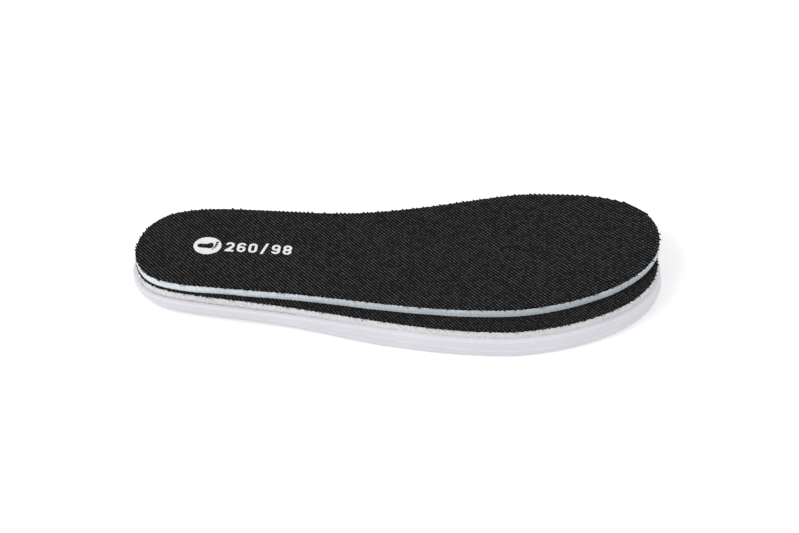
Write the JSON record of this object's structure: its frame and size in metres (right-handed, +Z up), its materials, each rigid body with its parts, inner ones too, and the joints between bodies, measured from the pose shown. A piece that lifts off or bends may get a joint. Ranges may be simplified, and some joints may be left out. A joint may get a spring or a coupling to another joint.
{
  "type": "cushioned insole",
  "caption": "Thick right-foot cushioned footbed with moulded base, foam and knit cover, and a thin loose liner insole lying on it.",
  "frame": {"origin": "on the flat underside of the moulded base, halfway along the footbed's die outline", "axes": "+X from heel to toe, +Y towards the arch side of the foot, +Z up, out of the cover the foot stands on"},
  "size_m": [0.2633, 0.1071, 0.0198],
  "materials": {
    "moulded_base": "off-white moulded EVA foam with a smooth skin, satin",
    "footbed_foam": "light grey cut foam with fine specks, matt",
    "liner_foam": "pale blue-grey cut foam, matt",
    "knit_cover": "black ribbed knit with diagonal ribs 1.6 mm apart, matt",
    "bond_film": "thin hot-melt film",
    "heel_print": "white screen print, matt, slightly broken by the knit"
  },
  "bodies": {
    "footbed": {"moulded_base": "moulded_base", "base_bond_film": "bond_film", "footbed_foam": "footbed_foam"},
    "footbed_top": {"footbed_bond_film": "bond_film", "footbed_cover": "knit_cover"},
    "liner": {"liner_foam": "liner_foam"},
    "liner_top": {"liner_bond_film": "bond_film", "liner_cover": "knit_cover", "heel_badge_print": "heel_print", "size_print_1": "heel_print", "size_print_2": "heel_print", "size_print_3": "heel_print", "size_print_4": "heel_print", "size_print_5": "heel_print", "size_print_6": "heel_print"}
  },
  "joints": [
    {"name": "footbed_press", "type": "slide", "parent": "footbed", "child": "footbed_top", "axis": [0, 0, -1], "range_m": [0, 0.0015], "stiffness_N_per_m": 20000, "deforming": ["footbed_foam"]},
    {"name": "liner_lift", "type": "slide", "parent": "footbed_top", "child": "liner", "axis": [0, 0, 1], "range_m": [0, 0.06]},
    {"name": "liner_press", "type": "slide", "parent": "liner", "child": "liner_top", "axis": [0, 0, -1], "range_m": [0, 0.0014], "stiffness_N_per_m": 20000, "deforming": ["liner_foam"]}
  ]
}
